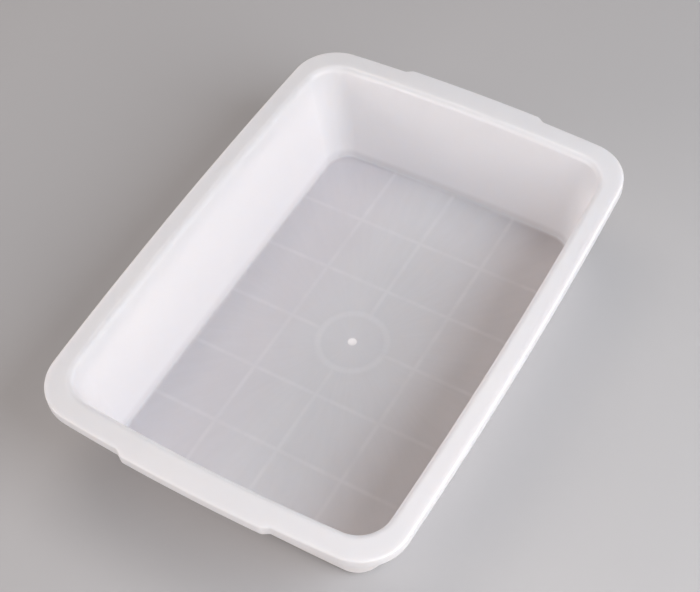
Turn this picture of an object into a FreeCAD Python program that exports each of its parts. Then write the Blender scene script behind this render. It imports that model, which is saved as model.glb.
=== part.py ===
import FreeCAD, Part
import math
import os

# A shallow rectangular developing tray, moulded in one shot from natural polypropylene.
# Lengths are millimetres. X runs from the front short side to the rear one, Y across the tray
# towards its left long side, and Z up. The origin is the middle of the base, at table height.

# Overall size
HEIGHT = 83.0
RIM_LENGTH = 368.0  # over the short sides, without the grip lips
RIM_WIDTH = 266.0
FLOOR_LENGTH = 307.6  # flat bottom of the inside, wall to wall
FLOOR_WIDTH = 202.4
MOUTH_LENGTH = 334.2  # inside walls carried up to the top of the rim
MOUTH_WIDTH = 235.6

# Every side bows outwards: the rise of its arc over the side's own length
RIM_BOWS = (5.8, 4.45)  # short sides, long sides
MOUTH_BOWS = (4.55, 3.67)
FLOOR_BOWS = (2.0, 0.5)

# Plan corner radii
RIM_CORNER = 33.0
MOUTH_CORNER = 22.5
FLOOR_CORNER = 17.4

# Wall sections
WALL = 2.2  # measured level, through the drafted walls
FLOOR_THICKNESS = 2.0
FLANGE_THICKNESS = 2.0
SKIRT_THICKNESS = 2.0
SKIRT_DEPTH = 8.5  # from the top of the rim to the skirt's free edge

# Rounded edges
MOUTH_ROLL = 5.0  # where the flange rolls over into the inside wall
RIM_EDGE_RADIUS = 1.2
SKIRT_EDGE_RADIUS = 0.6
BASE_RADIUS = 5.0  # outside, where wall and base meet
FLOOR_FILLET = 2.8  # inside, where wall and floor meet
PANEL_MARGIN = 1.2  # flat ground between the floor panel's edge and the floor fillet
NECK = 78.0  # height of the joint between walls and rim, under the rolled edge

# Grip lips in the middle of both short sides
GRIP_REACH = 3.0
GRIP_LENGTH = 101.5  # along the lip's outermost edge
GRIP_SLOPE = 5.2  # length of each sloping end
GRIP_CORNER = 4.0

# Stiffening ribs under the floor
RIB_PITCH = 50.0
RIB_WIDTH = 1.8
RIB_HEIGHT = 1.0
RIB_END_GAP = 1.5  # from the end of a rib to the face of the wall it dies into
LENGTHWISE_RIBS = {"right": -1, "centre": 0, "left": 1}  # place across the tray, in pitches
CROSS_RIBS = range(-2, 3)  # places along the tray, in pitches
RING_DIAMETER = 49.2  # to the middle of its width
RING_WIDTH = 2.6

# Mark of the injection gate in the middle of the floor: a shallow dish over a short stub
GATE_DIAMETER = 6.0
GATE_DISH = 0.3
GATE_STUB = 0.6

# Vertical planes that part the corners from the sides
CORNER_X = 136.0
CORNER_Y = 83.0

FLANGE_BOTTOM = HEIGHT - FLANGE_THICKNESS
SKIRT_BOTTOM = HEIGHT - SKIRT_DEPTH
FLOOR_TOP = RIB_HEIGHT + FLOOR_THICKNESS
UP = FreeCAD.Vector(0, 0, 1)
ENDS = {"front": -1, "rear": 1}
SIDES = {"right": -1, "left": 1}
FAR = 500.0  # larger than any part of the tray

# A plan is (half length, half width, end bow, side bow, corner radius)
RIM_PLAN = (RIM_LENGTH / 2, RIM_WIDTH / 2, *RIM_BOWS, RIM_CORNER)
MOUTH_PLAN = (MOUTH_LENGTH / 2, MOUTH_WIDTH / 2, *MOUTH_BOWS, MOUTH_CORNER)
FLOOR_PLAN = (FLOOR_LENGTH / 2, FLOOR_WIDTH / 2, *FLOOR_BOWS, FLOOR_CORNER)


def arc_radius(half_chord, rise):
    """Radius of the arc that rises this far over twice this half chord."""
    return (half_chord**2 + rise**2) / (2 * rise)


def inside_plan(level):
    """Plan of the inside walls at a height, on the straight draft from floor to mouth."""
    share = (level - FLOOR_TOP) / (HEIGHT - FLOOR_TOP)
    return tuple(low + share * (high - low) for low, high in zip(FLOOR_PLAN, MOUTH_PLAN))


def outline(plan, level, grow=0.0):
    """Closed wire of four bowed sides and four tangent corner arcs, moved outwards by grow."""
    half_length, half_width, end_bow, side_bow, corner = plan
    end_radius = arc_radius(half_width, end_bow) + grow
    side_radius = arc_radius(half_length, side_bow) + grow
    half_length += grow
    half_width += grow
    corner += grow
    end_centre = half_length - end_radius
    side_centre = half_width - side_radius
    # The corner's centre is where both side arcs, moved in by the corner radius, cross.
    span = math.hypot(end_centre, side_centre)
    inner_end = end_radius - corner
    inner_side = side_radius - corner
    along = (inner_end**2 - inner_side**2 + span**2) / (2 * span)
    off = math.sqrt(inner_end**2 - along**2)
    corner_x = end_centre - (along * end_centre + off * side_centre) / span
    corner_y = (along * side_centre - off * end_centre) / span
    end_angle = math.atan2(corner_y, corner_x - end_centre)
    side_angle = math.atan2(corner_y - side_centre, corner_x)
    middle_angle = (end_angle + side_angle) / 2

    def at(x, y):
        return FreeCAD.Vector(x, y, level)

    end_x = corner_x + corner * math.cos(end_angle)
    end_y = corner_y + corner * math.sin(end_angle)
    side_x = corner_x + corner * math.cos(side_angle)
    side_y = corner_y + corner * math.sin(side_angle)
    middle_x = corner_x + corner * math.cos(middle_angle)
    middle_y = corner_y + corner * math.sin(middle_angle)
    arcs = [
        (at(end_x, -end_y), at(half_length, 0), at(end_x, end_y)),
        (at(end_x, end_y), at(middle_x, middle_y), at(side_x, side_y)),
        (at(side_x, side_y), at(0, half_width), at(-side_x, side_y)),
        (at(-side_x, side_y), at(-middle_x, middle_y), at(-end_x, end_y)),
        (at(-end_x, end_y), at(-half_length, 0), at(-end_x, -end_y)),
        (at(-end_x, -end_y), at(-middle_x, -middle_y), at(-side_x, -side_y)),
        (at(-side_x, -side_y), at(0, -half_width), at(side_x, -side_y)),
        (at(side_x, -side_y), at(middle_x, -middle_y), at(end_x, -end_y)),
    ]
    return Part.Wire([Part.Arc(*points).toShape() for points in arcs])


def prism(wire, depth):
    """Solid that stands on a flat wire."""
    return Part.Face(wire).extrude(UP * depth)


def tapered(bottom, top):
    """Solid with straight walls between two outlines."""
    return Part.makeLoft([bottom, top], True, True)


def box(low_x, high_x, low_y, high_y, low_z=-FAR, high_z=FAR):
    """Box between two corners."""
    corner = FreeCAD.Vector(low_x, low_y, low_z)
    return Part.makeBox(high_x - low_x, high_y - low_y, high_z - low_z, corner)


def edges_at(shape, level):
    """Edges that lie in the horizontal plane at a height."""
    return [
        edge
        for edge in shape.Edges
        if abs(edge.BoundBox.ZMin - level) < 0.01 and abs(edge.BoundBox.ZMax - level) < 0.01
    ]


def cavity():
    """The space inside the walls, up to the top of the rim, its bottom edge rounded."""
    space = tapered(outline(FLOOR_PLAN, FLOOR_TOP), outline(MOUTH_PLAN, HEIGHT))
    return space.makeFillet(FLOOR_FILLET, edges_at(space, FLOOR_TOP))


def wall_outside(bottom, top):
    """Full block inside the walls' outer faces between two heights."""
    low = outline(inside_plan(bottom), bottom, WALL)
    high = outline(inside_plan(top), top, WALL)
    return tapered(low, high)


def floor_sheet():
    """Flat sheet inside the rounded base edge."""
    plan = outline(FLOOR_PLAN, RIB_HEIGHT, -FLOOR_FILLET - PANEL_MARGIN)
    return prism(plan, FLOOR_THICKNESS)


def floor_panel():
    """The floor's flat sheet, round the gate mark."""
    return floor_sheet().cut(disc(GATE_DIAMETER, 0, HEIGHT))


def rounded_outside():
    """Full block of the base and walls up to the neck, its base edge rounded."""
    outside = wall_outside(RIB_HEIGHT, NECK)
    return outside.makeFillet(BASE_RADIUS, edges_at(outside, RIB_HEIGHT))


def wall_ring():
    """All four walls and their corners, from the floor panel's edge up to the neck."""
    return rounded_outside().cut(cavity()).cut(floor_sheet())


def grip_outline(end, level):
    """Plan of one grip lip, sloped at both ends and reaching well inside the rim."""
    bow = arc_radius(RIM_WIDTH / 2, RIM_BOWS[0])
    centre = RIM_LENGTH / 2 - bow
    half = GRIP_LENGTH / 2
    foot = half + GRIP_SLOPE
    outer_x = centre + math.sqrt((bow + GRIP_REACH) ** 2 - half**2)
    foot_x = centre + math.sqrt(bow**2 - foot**2)
    inside_x = foot_x - RIM_CORNER / 2

    def at(x, y):
        return FreeCAD.Vector(end * x, y, level)

    points = [at(outer_x, half), at(foot_x, foot), at(inside_x, foot)]
    points += [at(inside_x, -foot), at(foot_x, -foot), at(outer_x, -half)]
    edges = [Part.makeLine(a, b) for a, b in zip(points, points[1:])]
    middle = at(RIM_LENGTH / 2 + GRIP_REACH, 0)
    edges.append(Part.Arc(points[-1], middle, points[0]).toShape())
    return Part.Wire(edges)


def is_grip_bend(edge):
    """True for the upright edges at both ends of a grip lip's slopes."""
    bounds = edge.BoundBox
    along = abs(bounds.Center.y)
    near = GRIP_LENGTH / 2 - GRIP_SLOPE < along < GRIP_LENGTH / 2 + 2 * GRIP_SLOPE
    return near and bounds.ZLength > 1


def rim_block(bottom, top):
    """Everything within the rim's outer edge, grip lips and all, between two heights."""
    block = prism(outline(RIM_PLAN, bottom), top - bottom)
    for end in ENDS.values():
        block = block.fuse(prism(grip_outline(end, bottom), top - bottom))
    block = block.removeSplitter()
    return block.makeFillet(GRIP_CORNER, [edge for edge in block.Edges if is_grip_bend(edge)])


def flange_ring():
    """Flat top of the rim, rolled over into a short neck of wall."""
    block = rim_block(FLANGE_BOTTOM, HEIGHT)
    plate = block.makeFillet(RIM_EDGE_RADIUS, edges_at(block, HEIGHT))
    neck = wall_outside(NECK, FLANGE_BOTTOM + FLANGE_THICKNESS / 2)
    ring = plate.fuse(neck).cut(cavity()).removeSplitter()
    inside = RIM_LENGTH / 2 - MOUTH_ROLL
    mouth = [edge for edge in edges_at(ring, HEIGHT) if edge.BoundBox.XMax < inside]
    return ring.makeFillet(MOUTH_ROLL, mouth)


def skirt_ring():
    """Band that hangs from the flange's outer edge."""
    block = rim_block(SKIRT_BOTTOM, FLANGE_BOTTOM)
    underside = min(block.Faces, key=lambda face: face.BoundBox.ZMax)
    hollow = prism(underside.OuterWire.makeOffset2D(-SKIRT_THICKNESS), SKIRT_DEPTH)
    band = block.cut(hollow)
    return band.makeFillet(SKIRT_EDGE_RADIUS, edges_at(band, SKIRT_BOTTOM))


def disc(diameter, bottom, top):
    """Round plate on the middle of the tray."""
    return Part.makeCylinder(diameter / 2, top - bottom, FreeCAD.Vector(0, 0, bottom))


def floor_ring():
    """Round rib about the middle of the underside, where the straight ribs stop."""
    outer = disc(RING_DIAMETER + RING_WIDTH, 0, RIB_HEIGHT)
    return outer.cut(disc(RING_DIAMETER - RING_WIDTH, 0, RIB_HEIGHT))


def gate_mark():
    """Round plug through the floor, dished on top and standing a little proud underneath."""
    radius = GATE_DIAMETER / 2

    def at(x, z):
        return FreeCAD.Vector(x, 0, z)

    foot = at(0, RIB_HEIGHT - GATE_STUB)
    rim = at(radius, FLOOR_TOP)
    middle = at(0, FLOOR_TOP - GATE_DISH)
    points = [middle, foot, at(radius, foot.z), rim]
    edges = [Part.makeLine(a, b) for a, b in zip(points, points[1:])]
    ball_radius = arc_radius(radius, GATE_DISH)
    half_way = middle.z + ball_radius - math.sqrt(ball_radius**2 - radius**2 / 4)
    edges.append(Part.Arc(rim, at(radius / 2, half_way), middle).toShape())
    return Part.Face(Part.Wire(edges)).revolve(foot, UP, 360)


def trimmed_rib(bar, tray_outside):
    """A bar under the floor, cut to the underside, the base's outline and the ring."""
    reach = prism(outline(inside_plan(RIB_HEIGHT), 0, WALL - RIB_END_GAP), BASE_RADIUS)
    ring_space = disc(RING_DIAMETER + RING_WIDTH, 0, BASE_RADIUS)
    return bar.common(reach).cut(tray_outside).cut(ring_space)


def floor_ribs():
    """Three ribs along the tray, and five across it in lengths that fit between them."""
    tray_outside = rounded_outside()
    half = RIB_WIDTH / 2
    ribs = {}
    for name, place in LENGTHWISE_RIBS.items():
        y = place * RIB_PITCH
        bar = box(-FAR, FAR, y - half, y + half, 0, BASE_RADIUS)
        ribs[f"{name}_lengthwise_rib"] = trimmed_rib(bar, tray_outside)
    lengthwise = Part.makeCompound(list(ribs.values()))
    for number, place in enumerate(CROSS_RIBS, start=1):
        x = place * RIB_PITCH
        bar = box(x - half, x + half, -FAR, FAR, 0, BASE_RADIUS)
        ribs[f"cross_rib_{number}"] = trimmed_rib(bar, tray_outside).cut(lengthwise)
    return ribs


def mirrored(shape, x_sign, y_sign):
    """The shape itself, or its mirror image across the tray's middle planes."""
    middle = FreeCAD.Vector(0, 0, 0)
    if x_sign < 0:
        shape = shape.mirror(middle, FreeCAD.Vector(1, 0, 0))
    if y_sign < 0:
        shape = shape.mirror(middle, FreeCAD.Vector(0, 1, 0))
    return shape


def placed_all_round(ring, layer):
    """A ring's four sides and four corners, from its rear side, left side and rear left corner."""
    end_part = ring.common(box(CORNER_X, FAR, -CORNER_Y, CORNER_Y))
    side_part = ring.common(box(-CORNER_X, CORNER_X, CORNER_Y, FAR))
    corner_part = ring.common(box(CORNER_X, FAR, CORNER_Y, FAR))
    parts = {}
    for end, x_sign in ENDS.items():
        parts[f"{end}_{layer}"] = mirrored(end_part, x_sign, 1)
        for side, y_sign in SIDES.items():
            parts[f"{side}_{layer}"] = mirrored(side_part, 1, y_sign)
            parts[f"{end}_{side}_corner_{layer}"] = mirrored(corner_part, x_sign, y_sign)
    return parts


def grip_zone():
    """Space of the rear grip lip: the rim's outermost band over the lip's length."""
    half = GRIP_LENGTH / 2 + GRIP_SLOPE + GRIP_CORNER
    inside_rim = prism(outline(RIM_PLAN, 0, -SKIRT_THICKNESS), FAR)
    return box(CORNER_X, FAR, -half, half).cut(inside_rim)


def walls_and_rim():
    """Wall, flange and skirt of each side and corner, and the grip lips between them."""
    zone = grip_zone()
    flange = flange_ring()
    skirt = skirt_ring()
    lip = flange.common(zone).fuse(skirt.common(zone)).removeSplitter()
    return {
        **placed_all_round(wall_ring(), "wall"),
        **placed_all_round(flange.cut(zone), "flange"),
        **placed_all_round(skirt.cut(zone), "skirt"),
        **{f"{end}_grip_lip": mirrored(lip, x_sign, 1) for end, x_sign in ENDS.items()},
    }


os.makedirs("parts", exist_ok=True)
nodes = {
    "floor_panel": floor_panel(),
    **walls_and_rim(),
    **floor_ribs(),
    "floor_ring": floor_ring(),
    "gate_mark": gate_mark(),
}
for node, solid in nodes.items():
    solid.exportStep(f"parts/{node}.step")
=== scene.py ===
import math

import bmesh
import bpy
from mathutils import Euler, Matrix, Vector


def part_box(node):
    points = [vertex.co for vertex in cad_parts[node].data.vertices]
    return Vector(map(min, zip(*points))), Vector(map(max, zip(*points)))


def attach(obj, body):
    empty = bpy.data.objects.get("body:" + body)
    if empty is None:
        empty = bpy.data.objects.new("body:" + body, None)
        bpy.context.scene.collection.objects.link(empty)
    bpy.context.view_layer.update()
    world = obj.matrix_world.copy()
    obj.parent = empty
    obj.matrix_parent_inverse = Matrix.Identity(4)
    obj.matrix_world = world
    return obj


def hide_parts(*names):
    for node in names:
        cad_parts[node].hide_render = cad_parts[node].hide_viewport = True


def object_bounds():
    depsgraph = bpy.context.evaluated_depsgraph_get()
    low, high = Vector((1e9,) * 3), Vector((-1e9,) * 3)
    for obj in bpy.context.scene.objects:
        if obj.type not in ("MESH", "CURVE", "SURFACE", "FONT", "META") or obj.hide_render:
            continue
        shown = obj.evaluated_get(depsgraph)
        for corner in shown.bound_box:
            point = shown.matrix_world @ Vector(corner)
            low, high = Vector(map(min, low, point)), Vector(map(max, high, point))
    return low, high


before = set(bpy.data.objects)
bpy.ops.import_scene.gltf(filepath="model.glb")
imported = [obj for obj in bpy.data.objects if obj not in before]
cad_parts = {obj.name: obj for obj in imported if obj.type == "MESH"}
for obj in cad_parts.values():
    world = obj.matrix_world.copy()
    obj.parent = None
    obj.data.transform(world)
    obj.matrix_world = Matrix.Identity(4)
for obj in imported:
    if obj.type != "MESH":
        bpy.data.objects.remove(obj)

# A developing tray moulded in one shot from natural polypropylene. Lengths are metres. X runs
# from the front short side to the rear one, Y across to the left long side, and Z up.

MM = 0.001
cad_low, cad_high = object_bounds()

# Levels, from the frame's own nodes
TOP = cad_high.z
FLOOR_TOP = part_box("floor_panel")[1].z
FLOOR_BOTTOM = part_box("floor_panel")[0].z
FLANGE_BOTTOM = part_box("left_skirt")[1].z
SKIRT_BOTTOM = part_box("left_skirt")[0].z
GATE_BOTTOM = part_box("gate_mark")[0].z

# Rounded edges and wall sections
WALL = 2.2 * MM
SKIRT = 2.0 * MM
FLOOR_FILLET = 2.8 * MM
PANEL_MARGIN = 1.2 * MM  # least flat ground between the floor panel's edge and the fillet
BASE_RADIUS = 5.0 * MM
MOUTH_ROLL = 5.0 * MM
RIM_EDGE_RADIUS = 1.2 * MM
SKIRT_EDGE_RADIUS = 0.6 * MM
SKIRT_FILLET = 0.8 * MM
NECK_FILLET = 1.2 * MM
HOLD = 0.4 * MM  # from a rounded edge to the loop that keeps it crisp

# Grip lips
GRIP_REACH = 3.0 * MM
GRIP_HALF_LENGTH = 50.75 * MM
GRIP_SLOPE = 5.2 * MM
GRIP_BEND = 1.1 * MM

# Gate mark: a shallow dish in the floor over a short stub below it
GATE_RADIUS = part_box("gate_mark")[1].x
GATE_DISH = 0.3 * MM
DISH_SHARES = (0.15, 0.35, 0.55, 0.75, 0.9, 0.985)  # loops across the dish, of its radius
DISH_BRIM = 1.015 * GATE_RADIUS
DISH_SURROUND = 1.1 * GATE_RADIUS
STUB_SURROUND = 1.15 * GATE_RADIUS
STUB_LOOPS = (  # share of the gate's radius, and height
    (1.02, FLOOR_BOTTOM - 0.05 * MM),
    (1.0, FLOOR_BOTTOM - 0.15 * MM),
    (1.0, GATE_BOTTOM + 0.12 * MM),
    (0.96, GATE_BOTTOM),
    (0.5, GATE_BOTTOM),
)

# Ring under the floor
RING_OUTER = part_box("floor_ring")[1].x
RING_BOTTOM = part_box("floor_ring")[0].z
RING_WIDTH = 2.6 * MM
RING_SOFT = 0.25 * MM  # radius of its lower edges
RING_SOFT_CUT = 0.3 * RING_SOFT  # how far the middle of such an edge stands off the sharp corner
RING_SUNK = 0.02 * MM  # into the floor's underside
RING_SEGMENTS = 120

# Plans: half length, half width, bow of the short sides, bow of the long sides, corner radius
RIM_PLAN = (cad_high.x - GRIP_REACH, cad_high.y, 5.8 * MM, 4.45 * MM, 33.0 * MM)
MOUTH_PLAN = (167.1 * MM, 117.8 * MM, 4.55 * MM, 3.67 * MM, 22.5 * MM)
FLOOR_HALF_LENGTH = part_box("floor_panel")[1].x + FLOOR_FILLET + PANEL_MARGIN
FLOOR_HALF_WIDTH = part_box("floor_panel")[1].y + FLOOR_FILLET + PANEL_MARGIN
FLOOR_PLAN = (FLOOR_HALF_LENGTH, FLOOR_HALF_WIDTH, 2.0 * MM, 0.5 * MM, 17.4 * MM)

# Loops over each stretch of the shell's profile
FILLET_STEPS = 7
BASE_STEPS = 8
WALL_STEPS = 8
ROLL_STEPS = 9
RIM_EDGE_STEPS = 5
SMALL_EDGE_STEPS = 4
SKIRT_OUTER_STEPS = 3
SKIRT_INNER_STEPS = 2
FLOOR_SHARES = (0, 0.08, 0.2, 0.4, 0.6, 0.8, 0.93, 1)
FLANGE_SHARES = (0, 0.3, 0.6, 0.85, 1)
NECK_SHARES = (0, 0.5, 1)
UNDERSIDE_SHARES = (0, 0.3, 0.6, 0.9, 1)


# ---------------------------------------------------------------- outlines


def spread(start, stop, count):
    """Evenly spaced numbers, both ends included."""
    return [start + (stop - start) * i / count for i in range(count + 1)]


def end_steps():
    """Places along a short side, from 0 to 1, close together where the grip lip slopes."""
    half = spread(0, 0.4, 6) + spread(0.44, 0.62, 20) + spread(0.68, 1, 5)
    whole = [-s for s in reversed(half[1:])] + half
    return [(s + 1) / 2 for s in whole]


END_STEPS = end_steps()
SIDE_STEPS = spread(0, 1, 28)
CORNER_STEPS = spread(0, 1, 22)


def arc_radius(half_chord, rise):
    return (half_chord**2 + rise**2) / (2 * rise)


def outline(plan):
    """Stations round four bowed sides and four tangent corners: (x, y, normal x, normal y)."""
    half_length, half_width, end_bow, side_bow, corner = plan
    end_radius = arc_radius(half_width, end_bow)
    side_radius = arc_radius(half_length, side_bow)
    end_centre = half_length - end_radius
    side_centre = half_width - side_radius
    span = math.hypot(end_centre, side_centre)
    inner_end = end_radius - corner
    inner_side = side_radius - corner
    along = (inner_end**2 - inner_side**2 + span**2) / (2 * span)
    off = math.sqrt(inner_end**2 - along**2)
    corner_x = end_centre - (along * end_centre + off * side_centre) / span
    corner_y = (along * side_centre - off * end_centre) / span
    a = math.atan2(corner_y, corner_x - end_centre)
    b = math.atan2(corner_y - side_centre, corner_x)
    half, whole = math.pi, 2 * math.pi
    arcs = [
        ((end_centre, 0), end_radius, -a, a, END_STEPS),
        ((corner_x, corner_y), corner, a, b, CORNER_STEPS),
        ((0, side_centre), side_radius, b, half - b, SIDE_STEPS),
        ((-corner_x, corner_y), corner, half - b, half - a, CORNER_STEPS),
        ((-end_centre, 0), end_radius, half - a, half + a, END_STEPS),
        ((-corner_x, -corner_y), corner, half + a, half + b, CORNER_STEPS),
        ((0, -side_centre), side_radius, half + b, whole - b, SIDE_STEPS),
        ((corner_x, -corner_y), corner, whole - b, whole - a, CORNER_STEPS),
    ]
    stations = []
    for (cx, cy), radius, start, stop, steps in arcs:
        for step in steps[:-1]:
            angle = start + (stop - start) * step
            nx, ny = math.cos(angle), math.sin(angle)
            stations.append((cx + radius * nx, cy + radius * ny, nx, ny))
    return stations


FLOOR = outline(FLOOR_PLAN)
MOUTH = outline(MOUTH_PLAN)
RIM = outline(RIM_PLAN)
COUNT = len(RIM)
SHORT_SIDE = 0.9 * abs(RIM[0][0])  # a station farther out than this is on a short side


def lip_reach(y):
    """How far the grip lip stands out of the rim at this place across the tray."""
    slope = GRIP_REACH / GRIP_SLOPE
    top = GRIP_HALF_LENGTH - abs(y)
    foot = top + GRIP_SLOPE

    def ramp(distance):
        if distance <= -GRIP_BEND:
            return 0.0
        if distance >= GRIP_BEND:
            return distance
        return (distance + GRIP_BEND) ** 2 / (4 * GRIP_BEND)

    return slope * (ramp(foot) - ramp(top))


LIP = [lip_reach(y) if abs(x) > SHORT_SIDE else 0.0 for x, y, _, _ in RIM]


def drafts():
    """Outward lean of the inside wall at each station, from upright, in radians."""
    rise = TOP - FLOOR_TOP
    return [
        math.atan(((mx - fx) * nx + (my - fy) * ny) / rise)
        for (fx, fy, _, _), (mx, my, nx, ny) in zip(FLOOR, MOUTH)
    ]


DRAFT = drafts()


def wall_point(i, z, grow):
    """Point on the inside wall's straight draft at a height, moved outwards by grow."""
    share = (z - FLOOR_TOP) / (TOP - FLOOR_TOP)
    fx, fy, fnx, fny = FLOOR[i]
    mx, my, mnx, mny = MOUTH[i]
    nx = fnx + share * (mnx - fnx)
    ny = fny + share * (mny - fny)
    size = math.hypot(nx, ny)
    x = fx + share * (mx - fx) + grow * nx / size
    y = fy + share * (my - fy) + grow * ny / size
    return (x, y, z)


def rim_point(i, z, grow):
    """Point on the rim's outline at a height, moved outwards by grow, with the grip lip."""
    x, y, nx, ny = RIM[i]
    out = grow + LIP[i]
    return (x + out * nx, y + out * ny, z)


def mixed(a, b, share):
    return tuple(p + share * (q - p) for p, q in zip(a, b))


# ---------------------------------------------------------------- the moulded shell


def circle_loop(radius, z):
    """Loop round the gate mark, with its points in line with the floor's."""
    loop = []
    for x, y, _, _ in FLOOR:
        size = math.hypot(x, y)
        loop.append((radius * x / size, radius * y / size, z))
    return loop


def around(point):
    return [point(i) for i in range(COUNT)]


def between(a, b, shares):
    """Loops from one loop to another, at shares of the way."""
    return [[mixed(p, q, share) for p, q in zip(a, b)] for share in shares]


def quarter_turn(steps):
    return spread(0, math.pi / 2, steps)


def plane_margin(i, radius):
    """Level distance from a wall's corner line to where its fillet meets the plane."""
    return radius * math.tan((math.pi / 2 - DRAFT[i]) / 2)


def wall_corner_loops(corner_z, grow, radius, steps):
    """Fillet between a level plane and the drafted wall above it, from the plane to the wall."""
    loops = []
    for step in range(steps + 1):

        def point(i):
            angle = (math.pi / 2 - DRAFT[i]) * step / steps
            rise = radius * (1 - math.cos(angle))
            side = radius * math.sin(angle) - plane_margin(i, radius)
            return wall_point(i, corner_z + rise, grow + side - rise * math.tan(DRAFT[i]))

        loops.append(around(point))
    return loops


def roll_loops():
    """Rolled edge between the flange's top and the inside wall, from the flange down."""
    loops = []
    for step in range(ROLL_STEPS + 1):

        def point(i):
            angle = (math.pi / 2 - DRAFT[i]) * step / ROLL_STEPS
            drop = MOUTH_ROLL * (1 - math.cos(angle))
            side = plane_margin(i, MOUTH_ROLL) - MOUTH_ROLL * math.sin(angle)
            return wall_point(i, TOP - drop, side + drop * math.tan(DRAFT[i]))

        loops.append(around(point))
    return loops


def inside_loops():
    """The gate's dish, the floor, its fillet and the inside wall, from the middle outwards."""
    loops = []
    ball = arc_radius(GATE_RADIUS, GATE_DISH)
    for share in DISH_SHARES:
        radius = GATE_RADIUS * share
        depth = GATE_DISH - ball + math.sqrt(ball**2 - radius**2)
        loops.append(circle_loop(radius, FLOOR_TOP - depth))
    loops.append(circle_loop(DISH_BRIM, FLOOR_TOP))
    floor_edge = around(
        lambda i: wall_point(i, FLOOR_TOP, -plane_margin(i, FLOOR_FILLET) - HOLD)
    )
    loops += between(circle_loop(DISH_SURROUND, FLOOR_TOP), floor_edge, FLOOR_SHARES)
    loops += wall_corner_loops(FLOOR_TOP, 0, FLOOR_FILLET, FILLET_STEPS)
    low = FLOOR_TOP + FLOOR_FILLET + HOLD
    high = TOP - MOUTH_ROLL - 2 * HOLD
    for z in spread(low, high, WALL_STEPS):
        loops.append(around(lambda i: wall_point(i, z, 0)))
    return loops


def rim_loops():
    """The mouth's roll, the flange's top and the rim's rounded outer edge."""
    loops = list(reversed(roll_loops()))
    inner = around(lambda i: wall_point(i, TOP, plane_margin(i, MOUTH_ROLL) + HOLD))
    outer = around(lambda i: rim_point(i, TOP, -RIM_EDGE_RADIUS - HOLD))
    loops += between(inner, outer, FLANGE_SHARES)
    for angle in quarter_turn(RIM_EDGE_STEPS):
        grow = RIM_EDGE_RADIUS * (math.sin(angle) - 1)
        z = TOP - RIM_EDGE_RADIUS * (1 - math.cos(angle))
        loops.append(around(lambda i: rim_point(i, z, grow)))
    return loops


def skirt_loops():
    """The skirt's outer face, rounded free edge, inner face and the fillet at its root."""
    loops = []
    low = SKIRT_BOTTOM + SKIRT_EDGE_RADIUS + HOLD / 2
    for z in spread(TOP - RIM_EDGE_RADIUS - HOLD, low, SKIRT_OUTER_STEPS):
        loops.append(around(lambda i: rim_point(i, z, 0)))
    for angle in quarter_turn(SMALL_EDGE_STEPS):
        grow = SKIRT_EDGE_RADIUS * (math.cos(angle) - 1)
        z = SKIRT_BOTTOM + SKIRT_EDGE_RADIUS * (1 - math.sin(angle))
        loops.append(around(lambda i: rim_point(i, z, grow)))
    for angle in quarter_turn(SMALL_EDGE_STEPS):
        grow = -SKIRT + SKIRT_EDGE_RADIUS * (1 - math.sin(angle))
        z = SKIRT_BOTTOM + SKIRT_EDGE_RADIUS * (1 - math.cos(angle))
        loops.append(around(lambda i: rim_point(i, z, grow)))
    for z in spread(low, FLANGE_BOTTOM - SKIRT_FILLET - HOLD / 2, SKIRT_INNER_STEPS):
        loops.append(around(lambda i: rim_point(i, z, -SKIRT)))
    for angle in quarter_turn(SMALL_EDGE_STEPS):
        grow = -SKIRT - SKIRT_FILLET * (1 - math.cos(angle))
        z = FLANGE_BOTTOM - SKIRT_FILLET * (1 - math.sin(angle))
        loops.append(around(lambda i: rim_point(i, z, grow)))
    return loops


def underside_loops():
    """Under the flange, down the walls' outer faces, and across the floor's underside."""
    outer = around(lambda i: rim_point(i, FLANGE_BOTTOM, -SKIRT - SKIRT_FILLET - HOLD))
    inner = around(lambda i: wall_point(i, FLANGE_BOTTOM, WALL + NECK_FILLET + HOLD))
    loops = between(outer, inner, NECK_SHARES)
    for angle in quarter_turn(SMALL_EDGE_STEPS):
        grow = WALL + NECK_FILLET * (1 - math.sin(angle))
        z = FLANGE_BOTTOM - NECK_FILLET * (1 - math.cos(angle))
        loops.append(around(lambda i: wall_point(i, z, grow)))
    high = FLANGE_BOTTOM - NECK_FILLET - HOLD
    low = FLOOR_BOTTOM + BASE_RADIUS + HOLD
    for z in spread(high, low, WALL_STEPS):
        loops.append(around(lambda i: wall_point(i, z, WALL)))
    loops += reversed(wall_corner_loops(FLOOR_BOTTOM, WALL, BASE_RADIUS, BASE_STEPS))
    edge = around(
        lambda i: wall_point(i, FLOOR_BOTTOM, WALL - plane_margin(i, BASE_RADIUS) - HOLD)
    )
    loops += between(edge, circle_loop(STUB_SURROUND, FLOOR_BOTTOM), UNDERSIDE_SHARES)
    for share, z in STUB_LOOPS:
        loops.append(circle_loop(GATE_RADIUS * share, z))
    return loops


def mesh_object(name, bm):
    bmesh.ops.recalc_face_normals(bm, faces=bm.faces)
    mesh = bpy.data.meshes.new(name)
    bm.to_mesh(mesh)
    bm.free()
    mesh.shade_smooth()
    piece = bpy.data.objects.new(name, mesh)
    bpy.context.scene.collection.objects.link(piece)
    return piece


def make_shell():
    """One closed skin, from the middle of the gate's dish round to the middle of its stub."""
    loops = inside_loops() + rim_loops() + skirt_loops() + underside_loops()
    bm = bmesh.new()
    rows = [[bm.verts.new(point) for point in loop] for loop in loops]
    for a, b in zip(rows, rows[1:]):
        for i in range(COUNT):
            j = (i + 1) % COUNT
            bm.faces.new((a[i], a[j], b[j], b[i]))
    bm.faces.new(rows[0])
    bm.faces.new(rows[-1])
    piece = mesh_object("tray_shell", bm)
    normals = piece.modifiers.new("even_normals", "WEIGHTED_NORMAL")
    normals.keep_sharp = False
    return piece


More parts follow.
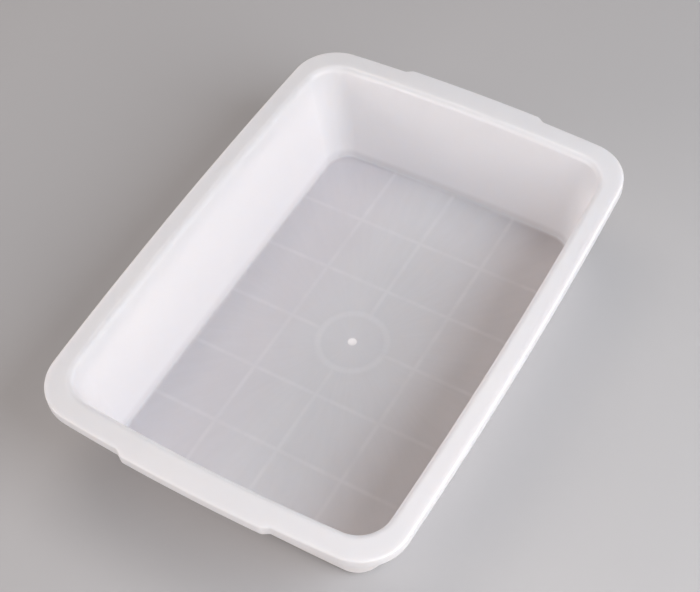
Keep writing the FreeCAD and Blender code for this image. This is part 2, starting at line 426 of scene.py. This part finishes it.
def make_ring():
    """Round rib with soft lower edges, let into the floor's underside."""
    outer, inner = RING_OUTER, RING_OUTER - RING_WIDTH
    low, top = RING_BOTTOM, FLOOR_BOTTOM + RING_SUNK
    profile = [
        (outer, top),
        (outer, low + RING_SOFT),
        (outer - RING_SOFT_CUT, low + RING_SOFT_CUT),
        (outer - RING_SOFT, low),
        (inner + RING_SOFT, low),
        (inner + RING_SOFT_CUT, low + RING_SOFT_CUT),
        (inner, low + RING_SOFT),
        (inner, top),
    ]
    bm = bmesh.new()
    rows = []
    for i in range(RING_SEGMENTS):
        angle = 2 * math.pi * i / RING_SEGMENTS
        rows.append(
            [bm.verts.new((r * math.cos(angle), r * math.sin(angle), z)) for r, z in profile]
        )
    for i in range(RING_SEGMENTS):
        a, b = rows[i], rows[(i + 1) % RING_SEGMENTS]
        for j in range(len(profile)):
            k = (j + 1) % len(profile)
            bm.faces.new((a[j], a[k], b[k], b[j]))
    return mesh_object("ring_rib", bm)


shell = make_shell()
ring = make_ring()


# ---------------------------------------------------------------- materials


class Graph:
    """Short names for the nodes of one material."""

    def __init__(self, name):
        self.material = bpy.data.materials.new(name)
        self.material.use_nodes = True
        self.nodes = self.material.node_tree.nodes
        self.links = self.material.node_tree.links
        self.surface = self.nodes["Principled BSDF"]

    def put(self, socket, value):
        if hasattr(value, "is_output"):
            self.links.new(value, socket)
        else:
            socket.default_value = value

    def node(self, kind, inputs=(), **settings):
        made = self.nodes.new(kind)
        for key, value in settings.items():
            setattr(made, key, value)
        for key, value in dict(inputs).items():
            self.put(made.inputs[key], value)
        return made

    def math(self, operation, a, b=0.0, c=0.0):
        made = self.node("ShaderNodeMath", {0: a, 1: b, 2: c}, operation=operation)
        return made.outputs[0]

    def remap(self, value, low, high, to_low=0.0, to_high=1.0):
        """Smooth step from to_low, at low and before it, to to_high, at high and past it."""
        inputs = {"Value": value, "From Min": low, "From Max": high}
        inputs.update({"To Min": to_low, "To Max": to_high})
        return self.node("ShaderNodeMapRange", inputs, interpolation_type="SMOOTHSTEP").outputs[0]

    def object_place(self):
        return self.node("ShaderNodeTexCoord").outputs["Object"]

    def noise(self, where, scale, detail, rough):
        inputs = {"Vector": where, "Scale": scale, "Detail": detail, "Roughness": rough}
        return self.node("ShaderNodeTexNoise", inputs).outputs["Fac"]

    def mottle(self, where, scale, detail, rough, low=0.0, high=1.0):
        """Noise eased from low to high over the range where most of its values lie."""
        return self.remap(self.noise(where, scale, detail, rough), *NOISE_RANGE, low, high)

    def blend(self, share, a, b, kind="MIX"):
        made = self.node("ShaderNodeMix", data_type="RGBA", blend_type=kind)
        self.put(made.inputs[0], share)
        self.put(made.inputs[6], a)
        self.put(made.inputs[7], b)
        return made.outputs[2]

    def bump(self, height, strength, distance, before=None):
        inputs = {"Height": height, "Strength": strength, "Distance": distance}
        made = self.node("ShaderNodeBump", inputs)
        if before is not None:
            self.links.new(before, made.inputs["Normal"])
        return made.outputs[0]


def colour(r, g, b):
    return (r, g, b, 1.0)


WALL_WARM = colour(0.885, 0.862, 0.872)
WALL_COOL = colour(0.862, 0.846, 0.868)
# Painted shade along the foot of the inside walls
WALL_FOOT_SHADE = colour(0.775, 0.752, 0.768)
# The floor's painted light along its middle, painted shade to its sides, and brown painted shadow
FLOOR_MIDDLE_LIGHT = colour(0.860, 0.812, 0.832)
FLOOR_SIDES_SHADE = colour(0.725, 0.682, 0.710)
FLOOR_BROWN_SHADOW = colour(0.745, 0.678, 0.658)
RIB_GLOW = colour(0.150, 0.140, 0.140)  # added to the floor's colour over a rib
GATE_WHITE = colour(0.98, 0.965, 0.965)

# Noise: scale, detail and roughness
CLOUD_NOISE = (9, 3, 0.5)
DRIFT_NOISE = (7, 2, 0.5)
FLOW_NOISE = (2.2, 4, 0.65)
PATCH_NOISE = (38, 3, 0.55)
POLISH_NOISE = (24, 4, 0.6)
WAVE_NOISE = (14, 2, 0.5)
GRAIN_NOISE = (1400, 3, 0.6)
PAPER_NOISE = (1.3, 3, 0.5)
NOISE_RANGE = (0.3, 0.7)  # where most of its values lie
CLOUD_RANGE = (0.35, 0.65)

# Painted shade at the foot of an inside wall: heights over the floor between which it
# starts, and between which it ends
FOOT_SHADE_STARTS = (0.8 * MM, 2.4 * MM)
FOOT_SHADE_ENDS = (3.5 * MM, 8.5 * MM)

# Painted light and shade across the floor: a band of painted light along its middle, and a
# brown painted shadow along its right side. Places are distances from its middle line
TONE_DRIFT = 25 * MM  # how far cloudiness moves the tones to either side
PAINTED_LIGHT_MIDDLE = -12 * MM
PAINTED_LIGHT_FADE = (15 * MM, 80 * MM)  # from the band's middle: where it starts to fade, and is gone
BROWN_SHADOW_SIDE = (-30 * MM, -85 * MM)  # where the brown starts, and is at its fullest
BROWN_SHADOW_SHARE = 0.75

# Flow lines: units of noise for each radian round the gate, and for each metre away from it
FLOW_ROUND = 9
FLOW_OUT = 12
FLOW_TONES = (0.985, 1.008)

# Pale lines over the floor's ribs: distance from a rib's middle where a line is full, and is gone
RIB_LINE = (0.2 * MM, 2.5 * MM)
RIB_LINE_STRENGTHS = (0.16, 0.48)  # in the faintest and the clearest patches
RIB_LINE_MARGIN = 1.5 * MM  # the straight lines fade over this outside part of the ring
RING_LINE = (0.6 * MM, 3.8 * MM)
RING_LINE_STRENGTH = 0.46
GATE_DOT = (2.9 * MM, 3.4 * MM)  # radius where the dot is full, and is gone

# What counts as floor by how far its normal points up, and as inside wall by how far a point's
# normal points back to the tray's middle
FLOOR_FACING = (0.35, 0.95)
INWARD_FACING = -20 * MM

# How far light travels inside the plastic. A rib's hidden top is dark, so light mustn't wander
# through a rib as it does through a wall.
SHELL_SCATTER = 9 * MM
RIB_SCATTER = 0.4 * MM
SCATTER_TINT = (1.0, 0.90, 0.83)  # red light travels farthest
PLASTIC_IOR = 1.49

# Roughness of the satin finish. It stays above 0.275, because Cycles' denoising leaves smudges
# where roughness crosses that value.
SATIN = (0.285, 0.355)

# Strength and height of the mould's slow waves, and of its fine grain
WAVES = (0.25, 0.6 * MM)
GRAIN = (0.05, 0.05 * MM)


def rib_pitch():
    """Distance between cross ribs, from the middles of the first and the last of the five."""
    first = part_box("cross_rib_1")
    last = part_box("cross_rib_5")
    return (last[0].x + last[1].x - first[0].x - first[1].x) / 8


def rib_lines(g, place, pitch, outermost):
    """Soft lines a pitch apart along one axis, as far as the outermost rib on each side."""
    line = g.remap(g.math("PINGPONG", place, pitch / 2), *RIB_LINE, 1, 0)
    reach = g.math("ABSOLUTE", place)
    inside = g.remap(reach, (outermost + 0.4) * pitch, (outermost + 0.5) * pitch, 1, 0)
    return g.math("MULTIPLY", line, inside)


def all_rib_lines(g, where, x, y, radius):
    """Strength of the pale lines where the ribs and the ring show through the floor."""
    pitch = rib_pitch()
    cross = rib_lines(g, x, pitch, 2)
    lengthwise = rib_lines(g, y, pitch, 1)
    straight = g.math("MAXIMUM", cross, lengthwise)
    outside_ring = g.remap(radius, RING_OUTER - RIB_LINE_MARGIN, RING_OUTER)
    straight = g.math("MULTIPLY", straight, outside_ring)
    patches = g.mottle(where, *PATCH_NOISE, *RIB_LINE_STRENGTHS)
    straight = g.math("MULTIPLY", straight, patches)
    from_ring = g.math("ABSOLUTE", g.math("SUBTRACT", radius, RING_OUTER - RING_WIDTH / 2))
    round_line = g.math("MULTIPLY", g.remap(from_ring, *RING_LINE, 1, 0), RING_LINE_STRENGTH)
    return g.math("MAXIMUM", straight, round_line)


def wall_colour(g, where, z, inward):
    """Slow cloudiness, and painted shade: a greyer foot on the inside walls, just above the floor.
    Slow cloudiness, and a greyer foot inside that matches the photo's tones.
    """
    clouds = g.remap(g.noise(where, *CLOUD_NOISE), *CLOUD_RANGE)
    body = g.blend(clouds, WALL_WARM, WALL_COOL)
    rise = g.math("SUBTRACT", z, FLOOR_TOP)
    # Painted shade on the inside walls just above the floor
    foot = g.math("MULTIPLY", g.remap(rise, *FOOT_SHADE_STARTS), g.remap(rise, *FOOT_SHADE_ENDS, 1, 0))
    return g.blend(g.math("MULTIPLY", foot, inward), body, WALL_FOOT_SHADE)


def floor_colour(g, where, x, y, radius):
    """Painted light along the middle, painted shade towards the sides, and a brown painted shadow
    along the right side.

    Faint flow lines fan out from the gate.
    """
    drift = g.noise(where, *DRIFT_NOISE)
    drift = g.math("MULTIPLY_ADD", drift, 2 * TONE_DRIFT, -TONE_DRIFT)
    across = g.math("ADD", y, drift)
    # Painted light in a band along the middle, painted shade to the sides
    from_band = g.math("ABSOLUTE", g.math("SUBTRACT", across, PAINTED_LIGHT_MIDDLE))
    sheet = g.blend(g.remap(from_band, *PAINTED_LIGHT_FADE), FLOOR_MIDDLE_LIGHT, FLOOR_SIDES_SHADE)
    # Brown painted shadow along the right side
    sheet = g.blend(g.remap(across, *BROWN_SHADOW_SIDE, 0, BROWN_SHADOW_SHARE), sheet, FLOOR_BROWN_SHADOW)

    turn = g.math("MULTIPLY", g.math("ARCTAN2", y, x), FLOW_ROUND)
    fan = g.node("ShaderNodeCombineXYZ", {0: turn, 1: g.math("MULTIPLY", radius, FLOW_OUT)})
    streaks = g.mottle(fan.outputs[0], *FLOW_NOISE, *FLOW_TONES)
    tint = g.node("ShaderNodeCombineColor", {0: streaks, 1: streaks, 2: streaks}).outputs[0]
    return g.blend(1.0, sheet, tint, "MULTIPLY")


def polypropylene(name, scatter):
    """Milky translucent plastic, whiter where thick, with painted light and shade on its floor and
    wall feet.
    """
    g = Graph(name)
    where = g.object_place()
    x, y, z = g.node("ShaderNodeSeparateXYZ", {0: where}).outputs
    radius = g.math("SQRT", g.math("ADD", g.math("MULTIPLY", x, x), g.math("MULTIPLY", y, y)))
    facing = g.node("ShaderNodeNewGeometry").outputs["Normal"]
    facing_x, facing_y, facing_z = g.node("ShaderNodeSeparateXYZ", {0: facing}).outputs

    # The floor is low down and faces up. An inside wall faces the tray's middle.
    low = g.remap(z, FLOOR_TOP, FLOOR_TOP + FLOOR_FILLET, 1, 0)
    floor = g.math("MULTIPLY", low, g.remap(facing_z, *FLOOR_FACING))
    outwards = g.math("ADD", g.math("MULTIPLY", x, facing_x), g.math("MULTIPLY", y, facing_y))
    inward = g.remap(outwards, 0.0, INWARD_FACING)
    gate = g.math("MULTIPLY", g.remap(radius, *GATE_DOT, 1, 0), floor)

    body = wall_colour(g, where, z, inward)
    sheet = floor_colour(g, where, x, y, radius)
    sheet = g.blend(all_rib_lines(g, where, x, y, radius), sheet, RIB_GLOW, "ADD")
    sheet = g.blend(gate, sheet, GATE_WHITE)
    g.put(g.surface.inputs["Base Color"], g.blend(floor, body, sheet))

    g.put(g.surface.inputs["Roughness"], g.mottle(where, *POLISH_NOISE, *SATIN))
    waves = g.bump(g.noise(where, *WAVE_NOISE), *WAVES)
    grain = g.bump(g.noise(where, *GRAIN_NOISE), *GRAIN, waves)
    g.put(g.surface.inputs["Normal"], grain)

    g.surface.inputs["IOR"].default_value = PLASTIC_IOR
    g.put(g.surface.inputs["Subsurface Weight"], g.math("SUBTRACT", 1.0, gate))
    g.surface.inputs["Subsurface Radius"].default_value = SCATTER_TINT
    g.surface.inputs["Subsurface Scale"].default_value = scatter
    return g.material


RIB_NAMES = [
    name for name in sorted(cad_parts) if name.endswith("rib") or "cross_rib" in name
]
SHELL_NODES = [
    name for name in sorted(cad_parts) if name not in RIB_NAMES and name != "floor_ring"
]

rib_plastic = polypropylene("milky_polypropylene_rib", RIB_SCATTER)
shell.data.materials.append(polypropylene("milky_polypropylene", SHELL_SCATTER))
ring.data.materials.append(rib_plastic)
for name in RIB_NAMES:
    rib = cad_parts[name]
    rib.data.materials.clear()
    rib.data.materials.append(rib_plastic)

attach(shell, "root")
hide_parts(*SHELL_NODES)
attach(ring, "root")
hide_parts("floor_ring")


# ---------------------------------------------------------------- stage, light and camera


# The stage: a level disc that bends up into a round wall, in metres
STAGE_HUB = 0.02  # radius of the flat face in its middle
STAGE_FIRST_RING = 0.6
STAGE_FLAT = 3.6
STAGE_BEND = 1.4
STAGE_HEIGHT = 3.2
STAGE_SEGMENTS = 96
FLAT_STEPS = 5
BEND_STEPS = 12
BEND_STARTS = 0.1  # angle of the bend's first ring, in radians
PAPER_DARK = colour(0.50, 0.50, 0.505)
PAPER_LIGHT = colour(0.52, 0.52, 0.522)
GLOW_TINT = colour(0.97, 0.97, 1.0)
GLOW_STARTS, GLOW_FULL = 0.9, 3.0  # distance from the tray
GLOW_STRENGTH = 0.25


def stage_paper():
    """Pale matt paper that glows faintly far out, to lift the darkness behind low views."""
    g = Graph("stage_paper")
    where = g.object_place()
    tone = g.mottle(where, *PAPER_NOISE)
    g.put(g.surface.inputs["Base Color"], g.blend(tone, PAPER_DARK, PAPER_LIGHT))
    g.surface.inputs["Roughness"].default_value = 0.85
    g.surface.inputs["Specular IOR Level"].default_value = 0.2
    away = g.node("ShaderNodeVectorMath", {0: where}, operation="LENGTH").outputs["Value"]
    glow = g.remap(away, GLOW_STARTS, GLOW_FULL, 0.0, GLOW_STRENGTH)
    g.surface.inputs["Emission Color"].default_value = GLOW_TINT
    g.put(g.surface.inputs["Emission Strength"], glow)
    g.material.cycles.emission_sampling = "NONE"
    return g.material


def make_stage():
    """Pale floor that curves up into a softly lit backdrop far behind the lights."""
    profile = [(STAGE_HUB, 0)]
    profile += [(r, 0) for r in spread(STAGE_FIRST_RING, STAGE_FLAT, FLAT_STEPS)]
    for angle in spread(BEND_STARTS, math.pi / 2, BEND_STEPS):
        r = STAGE_FLAT + STAGE_BEND * math.sin(angle)
        profile.append((r, STAGE_BEND * (1 - math.cos(angle))))
    profile.append((STAGE_FLAT + STAGE_BEND, STAGE_HEIGHT))
    bm = bmesh.new()
    turns = [2 * math.pi * i / STAGE_SEGMENTS for i in range(STAGE_SEGMENTS)]
    rings = [
        [bm.verts.new((r * math.cos(t), r * math.sin(t), z)) for t in turns] for r, z in profile
    ]
    bm.faces.new(rings[0])
    for a, b in zip(rings, rings[1:]):
        for i in range(STAGE_SEGMENTS):
            j = (i + 1) % STAGE_SEGMENTS
            bm.faces.new((a[i], a[j], b[j], b[i]))
    ground = mesh_object("stage_floor", bm)
    ground.data.materials.append(stage_paper())


make_stage()

LAMP_TARGET = (0, 0, 0.04)

# Softboxes round the tray: azimuth from +X towards +Y and elevation in degrees, distance, width
# and height, watts, tint. The low ones stand far out, so that they leave no hot patch on the
# floor near the tray.
LAMPS = {
    "key_softbox": (268, 40, 1.2, (0.8, 0.8), 10.1, (0.95, 0.985, 1.05)),
    "left_softbox": (142, 14, 1.6, (1.1, 0.6), 9.6, (1.09, 0.985, 0.94)),
    "front_softbox": (249, 14, 1.35, (1.3, 0.55), 5.6, (1.15, 0.985, 0.87)),
    "back_softbox": (48, 65, 1.2, (0.8, 0.8), 4.2, (1.10, 0.98, 0.92)),
    "edge_strip": (42, 14, 1.6, (1.3, 0.3), 0.5, (1.0, 0.99, 0.98)),
}


def around_tray(azimuth, elevation, distance):
    a, e = math.radians(azimuth), math.radians(elevation)
    flat = distance * math.cos(e)
    return (flat * math.cos(a), flat * math.sin(a), distance * math.sin(e) + LAMP_TARGET[2])


def area_light(name, place, size, watts, tint):
    data = bpy.data.lights.new(name, "AREA")
    data.shape = "RECTANGLE"
    data.size, data.size_y = size
    data.energy = watts
    data.color = tint
    lamp = bpy.data.objects.new(name, data)
    lamp.location = place
    aim = Vector(LAMP_TARGET) - Vector(place)
    lamp.rotation_euler = aim.to_track_quat("-Z", "Y").to_euler()
    lamp.visible_camera = False
    bpy.context.scene.collection.objects.link(lamp)


for lamp_name, (azimuth, elevation, distance, *rest) in LAMPS.items():
    area_light(lamp_name, around_tray(azimuth, elevation, distance), *rest)

world = bpy.data.worlds.new("studio_air")
world.use_nodes = True
air = world.node_tree.nodes["Background"]
air.inputs["Color"].default_value = (0.99, 0.97, 0.98, 1)
air.inputs["Strength"].default_value = 0.08
bpy.context.scene.world = world
bpy.context.scene.view_settings.view_transform = "Standard"

# The photo's viewpoint: above and in front of the tray's front right corner. It tilts up from
# straight down, rolls, then turns about the upright.
CAMERA_PLACE = (-0.47356, -0.32689, 0.82499)
CAMERA_TILT, CAMERA_ROLL, CAMERA_TURN = 36.7285, 3.1146, -59.6849
CAMERA_LENS = 73.03
SENSOR_WIDTH = 36


def make_camera():
    data = bpy.data.cameras.new("camera")
    data.sensor_width = SENSOR_WIDTH
    data.lens = CAMERA_LENS
    camera = bpy.data.objects.new("camera", data)
    angles = [math.radians(a) for a in (CAMERA_TILT, CAMERA_ROLL, CAMERA_TURN)]
    turn = Euler(angles, "XYZ").to_matrix().to_4x4()
    camera.matrix_world = Matrix.Translation(CAMERA_PLACE) @ turn
    bpy.context.scene.collection.objects.link(camera)
    bpy.context.scene.camera = camera


make_camera()
